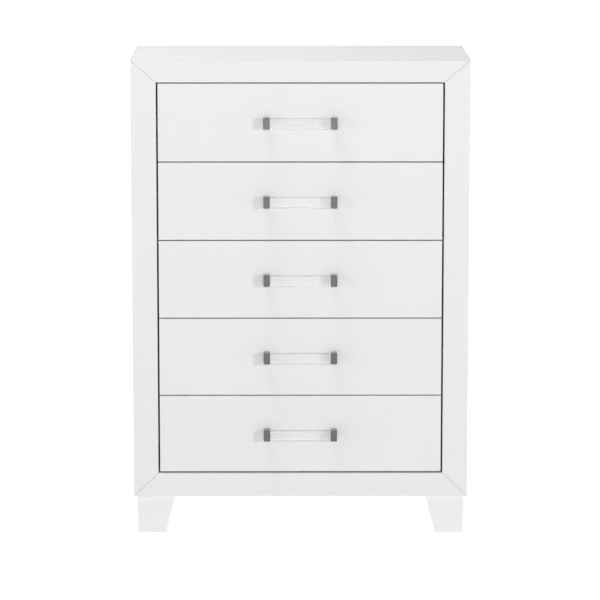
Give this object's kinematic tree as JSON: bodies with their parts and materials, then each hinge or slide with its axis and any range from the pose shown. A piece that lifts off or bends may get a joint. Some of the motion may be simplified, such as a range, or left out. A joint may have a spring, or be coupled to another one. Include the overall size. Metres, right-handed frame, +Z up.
{
  "type": "tall chest of drawers",
  "caption": "Tall white chest of drawers with a mitred case, block feet and flush drawers on ball-bearing slides, each with a clear bar handle between dark metal posts.",
  "frame": {"origin": "on the floor, midway across the width and midway from the fronts of the handles to the back of the case", "axes": "+Z up, -Y out of the drawer fronts, +X to the right as seen from the front"},
  "size_m": [0.86, 0.463, 1.225],
  "materials": {
    "case_lacquer": "satin",
    "front_lacquer": "satin",
    "foot_lacquer": "satin",
    "back_board": "matte",
    "stretcher_wood": "matte",
    "drawer_box_wood": "satin",
    "drawer_bottom_wood": "satin",
    "slide_steel": "satin",
    "handle_metal": "satin",
    "handle_acrylic": "gloss"
  },
  "bodies": {
    "case": {"case_top": "case_lacquer", "case_bottom": "case_lacquer", "case_left_side": "case_lacquer", "case_right_side": "case_lacquer", "back_panel": "back_board", "stretcher": "stretcher_wood", "foot_front_left": "foot_lacquer", "foot_front_right": "foot_lacquer", "foot_back_left": "foot_lacquer", "foot_back_right": "foot_lacquer", "cabinet_slide_1_left": "slide_steel", "cabinet_slide_1_right": "slide_steel", "cabinet_slide_2_left": "slide_steel", "cabinet_slide_2_right": "slide_steel", "cabinet_slide_3_left": "slide_steel", "cabinet_slide_3_right": "slide_steel", "cabinet_slide_4_left": "slide_steel", "cabinet_slide_4_right": "slide_steel", "cabinet_slide_5_left": "slide_steel", "cabinet_slide_5_right": "slide_steel"},
    "drawer_1": {"drawer_1_front": "front_lacquer", "drawer_1_box": "drawer_box_wood", "drawer_1_bottom": "drawer_bottom_wood", "drawer_1_handle_bar": "handle_acrylic", "drawer_1_handle_post_left": "handle_metal", "drawer_1_handle_post_right": "handle_metal", "drawer_1_slide_left": "slide_steel", "drawer_1_slide_right": "slide_steel"},
    "drawer_2": {"drawer_2_front": "front_lacquer", "drawer_2_box": "drawer_box_wood", "drawer_2_bottom": "drawer_bottom_wood", "drawer_2_handle_bar": "handle_acrylic", "drawer_2_handle_post_left": "handle_metal", "drawer_2_handle_post_right": "handle_metal", "drawer_2_slide_left": "slide_steel", "drawer_2_slide_right": "slide_steel"},
    "drawer_3": {"drawer_3_front": "front_lacquer", "drawer_3_box": "drawer_box_wood", "drawer_3_bottom": "drawer_bottom_wood", "drawer_3_handle_bar": "handle_acrylic", "drawer_3_handle_post_left": "handle_metal", "drawer_3_handle_post_right": "handle_metal", "drawer_3_slide_left": "slide_steel", "drawer_3_slide_right": "slide_steel"},
    "drawer_4": {"drawer_4_front": "front_lacquer", "drawer_4_box": "drawer_box_wood", "drawer_4_bottom": "drawer_bottom_wood", "drawer_4_handle_bar": "handle_acrylic", "drawer_4_handle_post_left": "handle_metal", "drawer_4_handle_post_right": "handle_metal", "drawer_4_slide_left": "slide_steel", "drawer_4_slide_right": "slide_steel"},
    "drawer_5": {"drawer_5_front": "front_lacquer", "drawer_5_box": "drawer_box_wood", "drawer_5_bottom": "drawer_bottom_wood", "drawer_5_handle_bar": "handle_acrylic", "drawer_5_handle_post_left": "handle_metal", "drawer_5_handle_post_right": "handle_metal", "drawer_5_slide_left": "slide_steel", "drawer_5_slide_right": "slide_steel"}
  },
  "joints": [
    {"name": "drawer_1_slide", "type": "slide", "parent": "case", "child": "drawer_1", "axis": [0, -1, 0], "range_m": [0, 0.26]},
    {"name": "drawer_2_slide", "type": "slide", "parent": "case", "child": "drawer_2", "axis": [0, -1, 0], "range_m": [0, 0.26]},
    {"name": "drawer_3_slide", "type": "slide", "parent": "case", "child": "drawer_3", "axis": [0, -1, 0], "range_m": [0, 0.26]},
    {"name": "drawer_4_slide", "type": "slide", "parent": "case", "child": "drawer_4", "axis": [0, -1, 0], "range_m": [0, 0.26]},
    {"name": "drawer_5_slide", "type": "slide", "parent": "case", "child": "drawer_5", "axis": [0, -1, 0], "range_m": [0, 0.26]}
  ]
}
